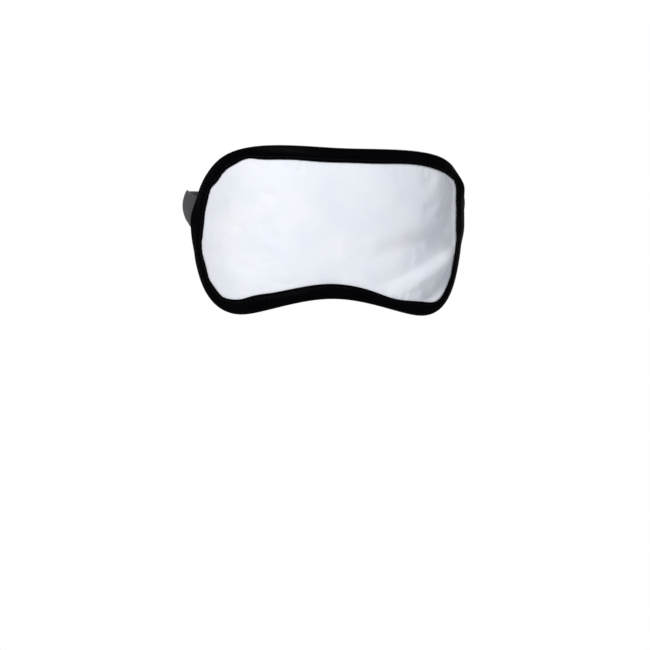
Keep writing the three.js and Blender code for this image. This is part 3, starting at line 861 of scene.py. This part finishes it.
def gathers(seed):
    """The tape's small gathers along the edge, stronger round its corners."""
    fine = ripple(TAPE_ALONG, EDGE_LENGTH, (96, 190), seed)
    coarse = ripple(TAPE_ALONG, EDGE_LENGTH, (40, 75), seed + 1)
    return (0.10 + 0.16 * corner_share()) * fine + (0.07 + 0.1 * corner_share()) * coarse


FRONT_GATHERS = gathers(61)
BACK_GATHERS = gathers(83)


def on_tape(inset, height, pucker):
    """Points round the edge at one place of the tape's section."""
    reach = inset * WIDTH_SHARE
    place = TAPE_EDGE + TAPE_INWARD * reach[:, None]
    face = front_face if height > 0 else back_face
    swell = face(reach) - face(np.array(inset))
    lift = pucker * (FRONT_GATHERS if pucker > 0 else BACK_GATHERS)
    return worn(place[:, 0], place[:, 1], height + swell + lift)


def make_binding(material):
    profile = tape_profile()
    points = np.stack([on_tape(*corner) for corner in profile], axis=1)
    across = along_line(np.array(profile)[:, :2])
    uv = np.stack(np.broadcast_arrays(TAPE_ALONG[:, None], across[None]), axis=-1)
    faces = grid_faces(TAPE_SECTIONS, len(profile), wrap_rows=True, wrap_columns=True)
    piece = mesh_piece("binding_tape", points.reshape(-1, 3), faces, uv=uv.reshape(-1, 2))
    close_cloth(piece, EDGE_LENGTH)
    face_outwards(piece)
    stands_for(piece, material, "black_satin", "mask", "edge_binding")


STITCH = 3.0  # from one needle hole to the next
STITCH_RADIUS = 0.2


def make_seam(name, face, side, material):
    """A row of separate stitches in the groove of the tape."""
    height = float(tape_height(np.array(SEAM_INSET), face))
    line = on_tape(SEAM_INSET, side * (height + 0.02), side * 1.0)
    above = on_tape(SEAM_INSET, side * (height + 1.02), side * 1.0) - line
    closed = np.concatenate([line, line[:1]])
    above = np.concatenate([above, above[:1]])
    along = along_line(closed)
    count = round(along[-1] / STITCH)
    stitches = []
    share = np.linspace(0, 1, 7)
    for index in range(count):
        at = (index + 0.06 + 0.88 * share) * along[-1] / count
        path = np.column_stack([np.interp(at, along, closed[:, i]) for i in range(3)])
        up = np.column_stack([np.interp(at, along, above[:, i]) for i in range(3)])
        arch = np.sin(math.pi * share)
        path += up * (0.2 * arch - 0.12)[:, None]
        stitches.append(tube(path, STITCH_RADIUS * (0.45 + 0.55 * arch**0.5), 6))
    piece = mesh_piece(name.replace("thread", "stitches"), *joined(stitches))
    face_outwards(piece)
    stands_for(piece, material, "black_thread", "mask", name)


# ---- The elastic strap ----

RIBS = 11
RIB_HEIGHT = 0.09
EAR_CAMBER = 2.8
CAMBER_RISE = 0.1  # of the cupped strap's outermost line over its middle, as a share of half its width
FOLD_EASE = 6.0  # over which a returning layer comes down on the layer under it
BAR_EASE = 1.4  # from the slider's centre bar to where its layers start to close
RING_STITCH = 10.0  # from a bar to the bartack beside it
SLIDER_STITCH = 8.0


def elastic_section():
    """The strap's section, as (across its thickness, along its width): ribbed faces and rounded edges."""
    half = STRAP_WIDTH / 2
    steps = 3 * RIBS + 1
    width = np.linspace(-half + 0.25, half - 0.25, steps)
    rib = np.abs(np.sin(math.pi * RIBS * (np.arange(steps) / (steps - 1))))
    edge = 1 - smoothstep(np.abs(width), half - 1.2, half)
    thick = (STRAP_THICKNESS / 2 - RIB_HEIGHT / 2) * (0.72 + 0.28 * edge) + RIB_HEIGHT * rib
    outer = np.column_stack([thick, width])
    inner = np.column_stack([-thick[::-1], width[::-1]])
    tip = STRAP_THICKNESS * 0.2
    caps = [(tip, half), (-tip, half)], [(-tip, -half), (tip, -half)]
    return np.concatenate([outer, caps[0], inner, caps[1]])


def ear_camber(line, side):
    """How far the strap cups round the ear at each point of its line, away from the head."""
    y = line[:, 1]
    before = smoothstep(y, EAR_Y - 40, EAR_Y)
    behind = 1 - smoothstep(y, EAR_Y + 20, EAR_Y + 75)
    return -side * EAR_CAMBER * before * behind


def ribbon(name, line, camber=0.0):
    """An elastic strap standing on edge along a line of plan points with heights, cupped by camber."""
    section = elastic_section()
    along = np.gradient(line, axis=0)
    along[:, 2] = 0
    along /= np.linalg.norm(along, axis=1)[:, None]
    across = np.column_stack([-along[:, 1], along[:, 0], np.zeros(len(line))])
    cup = -((section[:, 1] * 2 / STRAP_WIDTH - CAMBER_RISE) ** 2)
    depth = section[None, :, 0] + np.broadcast_to(camber, len(line))[:, None] * cup[None]
    points = line[:, None] + across[:, None] * depth[..., None] + UP * section[None, :, 1:]
    count = len(section)
    faces = grid_faces(len(line), count, wrap_columns=True)
    last = (len(line) - 1) * count
    faces.append(tuple(range(count)))
    faces.append(tuple(last + i for i in reversed(range(count))))
    lengths = np.broadcast_to(along_line(line)[:, None], points.shape[:2])
    widths = np.broadcast_to(section[None, :, 1], points.shape[:2])
    uv = np.stack([lengths, widths], axis=-1).reshape(-1, 2)
    piece = mesh_piece(name, points.reshape(-1, 3), faces, uv=uv)
    face_outwards(piece)
    shade_by_angle(piece, 60)
    return piece


def half_turn(centre, radius, start, turn, count=9):
    """Plan points of a half turn, without its ends; turn 1 is anticlockwise from above."""
    angles = start + turn * math.pi * np.arange(1, count) / count
    x = centre[0] + radius * np.cos(angles)
    y = centre[1] + radius * np.sin(angles)
    return np.column_stack([x, y])


def sewn_end(side):
    """The folded end on the pad's back, in plan."""
    fold_u = STRAP_END_U - STRAP_SEWN_LENGTH
    under = worn(side * np.linspace(STRAP_END_U, fold_u, 9), STRAP_HEIGHT, UNDER_OFFSET)
    angles = math.pi * np.arange(1, 8) / 8
    bulge = LAYER_STEP / 2 * np.sin(angles)
    middle = (UNDER_OFFSET + OVER_OFFSET) / 2
    turn = worn(side * (fold_u - bulge), STRAP_HEIGHT, middle + LAYER_STEP / 2 * np.cos(angles))
    over = worn(side * np.linspace(fold_u, STRAP_END_U + 3, 11), STRAP_HEIGHT, OVER_OFFSET)
    return np.concatenate([under, turn, over])[:, :2]


def around_the_head(side):
    """From the pad's end round the ear to the straight stretch behind the head, in plan."""
    start = worn(side * (STRAP_END_U + 4), STRAP_HEIGHT, OVER_OFFSET)[:2]
    heading = np.array([side * math.cos(WRAP_ANGLE), math.sin(WRAP_ANGLE)])
    ear = np.array([side * EAR_HALF_WIDTH + EAR_SHIFT, EAR_Y])
    back = np.array([side * STRAIGHT_HALF, BACK_Y])
    to_ear = bezier([start, start + 14 * heading, ear + (0, -18), ear], 34)
    to_back = bezier([ear, ear + (0, 50), back + (side * 26, 0), back], 74)
    return np.concatenate([to_ear, to_back[1:]])


def strap_body(side):
    """The strap from its sewn end over the ear to the straight stretch, with its height at each place."""
    plan = np.concatenate([sewn_end(side), around_the_head(side)])
    pad_height = float(worn(side * STRAP_END_U, STRAP_HEIGHT, 0)[2])
    leave_y = float(worn(side * STRAP_END_U, 0, 0)[1])
    ear_height = BACK_HEIGHT + side * EAR_TILT
    height = pad_height + (ear_height - pad_height) * smoothstep(plan[:, 1], leave_y, EAR_LEVEL_Y)
    height += (BACK_HEIGHT - height) * smoothstep(plan[:, 1], EAR_LEVEL_Y, BACK_Y)
    return np.column_stack([plan, height])


def level(plan):
    """Plan points at the height of the strap behind the head."""
    plan = np.asarray(plan, float)
    return np.column_stack([plan, np.full(len(plan), BACK_HEIGHT)])


def straight(start, end, step=1.2):
    """Plan points from start up to end, without end."""
    start, end = np.array(start, float), np.array(end, float)
    count = max(2, math.ceil(np.linalg.norm(end - start) / step))
    return start + (end - start) * (np.arange(count) / count)[:, None]


def ring_bar_x(side):
    return RING_X + side * RING_BAR_SPACING / 2


def eased(start, end, count=7):
    """A soft step in Y between two plan points, without its end."""
    share = np.arange(count) / count
    x = start[0] + (end[0] - start[0]) * share
    y = start[1] + (end[1] - start[1]) * smoothstep(share, 0, 1)
    return np.column_stack([x, y])


def make_long_strap(material):
    """Sewn to the -X end, along the head and half way round the ring's near bar."""
    bar = ring_bar_x(-1)
    turn = half_turn((bar, RING_Y), BAR_TURN, math.pi / 2, -1)
    half_way = turn[: len(turn) // 2]
    behind = straight((-STRAIGHT_HALF, BACK_Y), (bar, BACK_Y))[1:]
    line = np.concatenate([strap_body(-1), level(behind), level([(bar, BACK_Y)]), level(half_way)])
    piece = ribbon("elastic_long", line, ear_camber(line, -1))
    stands_for(piece, material, "grey_elastic", "mask", "strap_long")


def make_short_strap(material):
    """Sewn to the +X end, round the ring's far bar and sewn back on itself."""
    bar = ring_bar_x(1)
    fold_y = BACK_Y - LAYER_STEP
    parts = [
        straight((STRAIGHT_HALF, BACK_Y), (bar, BACK_Y))[1:],
        [(bar, BACK_Y)],
        half_turn((bar, RING_Y), BAR_TURN, math.pi / 2, 1),
        [(bar, RETURN_Y)],
        eased((bar + 0.6, RETURN_Y), (bar + FOLD_EASE, fold_y)),
        straight((bar + FOLD_EASE, fold_y), (bar + RING_FOLD_LENGTH, fold_y)),
        [(bar + RING_FOLD_LENGTH, fold_y)],
    ]
    line = np.concatenate([strap_body(1)] + [level(part) for part in parts])
    piece = ribbon("elastic_short", line, ear_camber(line, 1))
    stands_for(piece, material, "grey_elastic", "mask", "strap_short")


def make_returning_end(material):
    """From inside the ring back to the slider and round its centre bar.

    It grows and shrinks between the two.
    """
    bar = ring_bar_x(-1)
    turn = half_turn((bar, RING_Y), BAR_TURN, math.pi / 2, -1)
    rest = turn[len(turn) // 2 - 1 :]
    loop_end = SLIDER_X + LOOP_LENGTH
    bar_left = SLIDER_X - CENTRE_BAR_WIDTH / 2
    near, far = CENTRE_BAR_Y - LOOP_TURN, CENTRE_BAR_Y + LOOP_TURN
    under_y = RETURN_Y + LAYER_STEP
    closed_x = SLIDER_X + FOLD_EASE
    open_x = SLIDER_X + BAR_EASE
    parts = [
        rest,
        straight((bar, RETURN_Y), (closed_x, RETURN_Y)),
        eased((closed_x, RETURN_Y), (open_x, near)),
        straight((open_x, near), (bar_left, near)),
        [(bar_left, near)],
        half_turn((bar_left, CENTRE_BAR_Y), LOOP_TURN, -math.pi / 2, -1),
        straight((bar_left, far), (open_x, far)),
        eased((open_x, far), (closed_x, under_y)),
        straight((closed_x, under_y), (loop_end, under_y)),
        [(loop_end, under_y)],
    ]
    piece = ribbon("elastic_return", np.concatenate([level(part) for part in parts]))
    stands_for(piece, material, "grey_elastic", None, "strap_return", "strap_end_loop")
    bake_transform(piece)


# ---- Bartacks ----

BARTACK_HEIGHT = 17.0
BARTACK_WIDTH = 2.4
BARTACK_PASSES = 40
ZIGZAG_RADIUS = 0.17
LONG_STITCH_RADIUS = 0.14
LONG_STITCH_OFFSET = 0.5


def make_bartack(name, middle, along, outward, body, material):
    """A dense zigzag of thread over two long stitches, on the face of a strap."""
    middle, along, outward = (np.array(v, float) for v in (middle, along, outward))
    rng = random.Random(name)
    zigzag = []
    for step in range(BARTACK_PASSES + 1):
        height = BARTACK_HEIGHT * (step / BARTACK_PASSES - 0.5)
        side = (-1) ** step * (BARTACK_WIDTH / 2 + rng.uniform(-0.08, 0.08))
        for share, lift in ((1.0, 0.02), (0.55, 0.2), (0.0, 0.24), (-0.55, 0.2)):
            rise = height + BARTACK_HEIGHT / BARTACK_PASSES * (1 - share) / 2
            zigzag.append(middle + along * side * share + UP * rise + outward * lift)
    shapes = [tube(zigzag, [ZIGZAG_RADIUS] * len(zigzag), 5)]
    for side in (-LONG_STITCH_OFFSET, LONG_STITCH_OFFSET):
        beside = middle + along * side
        shares = np.linspace(-0.5, 0.5, 24)
        line = [beside + UP * BARTACK_HEIGHT * share + outward * 0.06 for share in shares]
        shapes.append(tube(line, [LONG_STITCH_RADIUS] * len(line), 5))
    piece = mesh_piece(name + "_thread", *joined(shapes))
    face_outwards(piece)
    stands_for(piece, material, "black_thread", body, name)


def make_bartacks(material):
    surface = STRAP_THICKNESS / 2 + RIB_HEIGHT / 2
    pad_u = STRAP_END_U - STRAP_SEWN_LENGTH / 2
    for name, side in (("bartack_pad_left", -1), ("bartack_pad_right", 1)):
        height = float(worn(side * STRAP_END_U, STRAP_HEIGHT, 0)[2])
        middle = worn(side * pad_u, STRAP_HEIGHT, OVER_OFFSET - surface)
        middle[2] = height
        turn = float(turn_at(pad_u))
        along = (math.cos(turn), side * math.sin(turn), 0)
        outward = (-side * math.sin(turn), math.cos(turn), 0)
        make_bartack(name, middle, along, outward, "mask", material)
    towards_head = (0, -1, 0)
    ring_middle = (ring_bar_x(1) + RING_STITCH, BACK_Y - LAYER_STEP - surface, BACK_HEIGHT)
    make_bartack("bartack_ring", ring_middle, (1, 0, 0), towards_head, "mask", material)
    slider_middle = (SLIDER_X + SLIDER_STITCH, RETURN_Y - surface, BACK_HEIGHT)
    make_bartack("bartack_slider", slider_middle, (1, 0, 0), towards_head, "slider", material)


# ---- Ring and slider ----


def make_ring(material):
    """A round bar bent into a rectangle."""
    bend = 2.0
    half_length = RING_BAR_SPACING / 2 - bend
    half_height = HARDWARE_HEIGHT / 2 - RING_BAR_RADIUS - bend
    centre = np.array([RING_X, RING_Y, BACK_HEIGHT])
    sides = 20
    spin = 2 * math.pi * np.arange(sides) / sides
    rings = []
    for corner, (sign_x, sign_z) in enumerate(((1, 1), (-1, 1), (-1, -1), (1, -1))):
        for angle in np.linspace(corner, corner + 1, 9) * math.pi / 2:
            out = np.array([math.cos(angle), 0, math.sin(angle)])
            middle = centre + (sign_x * half_length, 0, sign_z * half_height) + bend * out
            section = middle + RING_BAR_RADIUS * np.cos(spin)[:, None] * out
            section[:, 1] += RING_BAR_RADIUS * np.sin(spin)
            rings.append(section)
    faces = grid_faces(len(rings), sides, wrap_rows=True, wrap_columns=True)
    piece = face_outwards(mesh_piece("ring_bar", np.concatenate(rings), faces))
    stands_for(piece, material, "black_plastic", "mask", "strap_ring")


def make_slider(material):
    """The moulded slider, with its flat faces made whole and its edges rounded."""
    piece = bpy.data.objects.new("slider_moulding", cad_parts["strap_slider"].data.copy())
    scene.collection.objects.link(piece)
    piece.data.materials.clear()
    bm = bmesh.new()
    bm.from_mesh(piece.data)
    bmesh.ops.remove_doubles(bm, verts=bm.verts, dist=0.01 * MM)
    bmesh.ops.dissolve_limit(bm, angle_limit=math.radians(2), verts=bm.verts, edges=bm.edges)
    sharp = [e for e in bm.edges if len(e.link_faces) == 2 and e.calc_face_angle() > math.radians(50)]
    rounding = {"offset": 0.32 * MM, "segments": 3, "profile": 0.5, "clamp_overlap": True}
    bmesh.ops.bevel(bm, geom=sharp, affect="EDGES", **rounding)
    bm.to_mesh(piece.data)
    bm.free()
    shade_by_angle(piece, 40)
    stands_for(piece, material, "black_plastic", "slider", "strap_slider")


# ---- Build ----


def make_mask():
    folds = fold_heights(PLACES, FRONT_FOLDS) * INSIDE
    front = front_offsets(folds)
    back = back_offsets(folds)
    make_foam(front, back)
    looser_end = 0.22 + 0.5 * smoothstep(PLACES[:, 0], 35, 80)
    even = np.full(len(PLACES), 0.5)
    white = white_satin()
    panel("front_panel", front, white, "white_satin", slack=0.006, pressure=0.6, furthest=looser_end)
    black = black_lining()
    panel("back_lining", back, black, "black_lining", slack=0.008, pressure=-0.5, furthest=even)
    make_binding(black_satin())
    thread = sewing_thread()
    make_seam("binding_thread_front", front_face, 1, thread)
    make_seam("binding_thread_back", back_face, -1, thread)
    elastic = grey_elastic()
    make_long_strap(elastic)
    make_short_strap(elastic)
    make_returning_end(elastic)
    make_bartacks(thread)
    plastic = black_plastic()
    make_ring(plastic)
    make_slider(plastic)


# ---- Studio ----

CAMERA_DISTANCE = 1.5
CAMERA_YAW = math.radians(6.0)
CAMERA_ROLL = math.radians(1.67)
CAMERA_HEIGHT = -0.0548
CAMERA_SIDE = 0.0043
CAMERA_LENS = 132.8


def make_camera():
    """Level with the wearer's mouth, a little to the -X side, and turned slightly about its own axis."""
    camera = bpy.data.objects.new("camera", bpy.data.cameras.new("camera"))
    camera.data.lens = CAMERA_LENS
    camera.data.sensor_width = 36
    camera.data.clip_end = 30
    ahead = Vector((math.sin(CAMERA_YAW), math.cos(CAMERA_YAW), 0))
    right = Vector((math.cos(CAMERA_YAW), -math.sin(CAMERA_YAW), 0))
    camera.location = right * CAMERA_SIDE - ahead * CAMERA_DISTANCE + Vector((0, 0, CAMERA_HEIGHT))
    turn = Euler((math.pi / 2, 0, -CAMERA_YAW)).to_matrix() @ Matrix.Rotation(CAMERA_ROLL, 3, "Z")
    camera.rotation_euler = turn.to_euler()
    scene.collection.objects.link(camera)
    scene.camera = camera


def make_light(name, place, size, power, colour=(1, 1, 1)):
    """A square soft light that faces the mask."""
    light = bpy.data.lights.new(name, "AREA")
    light.size = size
    light.energy = power
    light.color = colour
    lamp = bpy.data.objects.new(name, light)
    lamp.location = place
    lamp.rotation_euler = (-Vector(place)).to_track_quat("-Z", "Y").to_euler()
    scene.collection.objects.link(lamp)


FLOOR_HEIGHT = -0.42
FLOOR_RADIUS = 1.3
WORLD_LIGHT = 0.31  # of the room, against the backdrop's white


def make_floor():
    """A pale floor under the mask that fades into the white backdrop."""
    n = Nodes("studio floor")
    coordinates = n.node("TexCoord").outputs["Object"]
    reach = n.node("VectorMath", {0: coordinates}, operation="LENGTH").outputs["Value"]
    edge = {"Value": reach, "From Min": 0.4, "From Max": FLOOR_RADIUS, "To Min": 1.0, "To Max": 0.0}
    alpha = n.node("MapRange", edge, interpolation_type="SMOOTHSTEP").outputs[0]
    pale = (0.93, 0.93, 0.93, 1)
    material = n.finish(Base_Color=pale, Roughness=0.9, Specular_IOR_Level=0.1, Alpha=alpha)
    corners = 64
    angles = 2 * math.pi * np.arange(corners) / corners
    rim = FLOOR_RADIUS / MM * np.column_stack([np.cos(angles), np.sin(angles), 0 * angles])
    floor = mesh_piece("floor", rim, [tuple(range(corners))], smooth=False)
    floor.location = (0, 0, FLOOR_HEIGHT)
    floor.data.materials.append(material)


def make_world():
    """A white backdrop all round that lights the room less than it shows."""
    world = bpy.data.worlds.new("studio")
    scene.world = world
    world.use_nodes = True
    tree = world.node_tree
    background = tree.nodes["Background"]
    background.inputs["Color"].default_value = (1, 1, 1, 1)
    seen = tree.nodes.new("ShaderNodeLightPath").outputs["Is Camera Ray"]
    strength = tree.nodes.new("ShaderNodeMapRange")
    strength.inputs["To Min"].default_value = WORLD_LIGHT
    strength.inputs["To Max"].default_value = 1.0
    tree.links.new(seen, strength.inputs["Value"])
    tree.links.new(strength.outputs[0], background.inputs["Strength"])


def make_studio():
    scene.view_settings.view_transform = "Standard"
    make_world()
    make_light("key", (-0.9, -1.5, 0.9), 0.8, 26.5)
    make_light("fill", (1.5, -1.1, 0.4), 1.2, 4.2, (0.9, 0.95, 1.1))
    make_light("back", (0.3, 1.5, 0.9), 1.0, 18)
    make_floor()


make_mask()
make_camera()
make_studio()
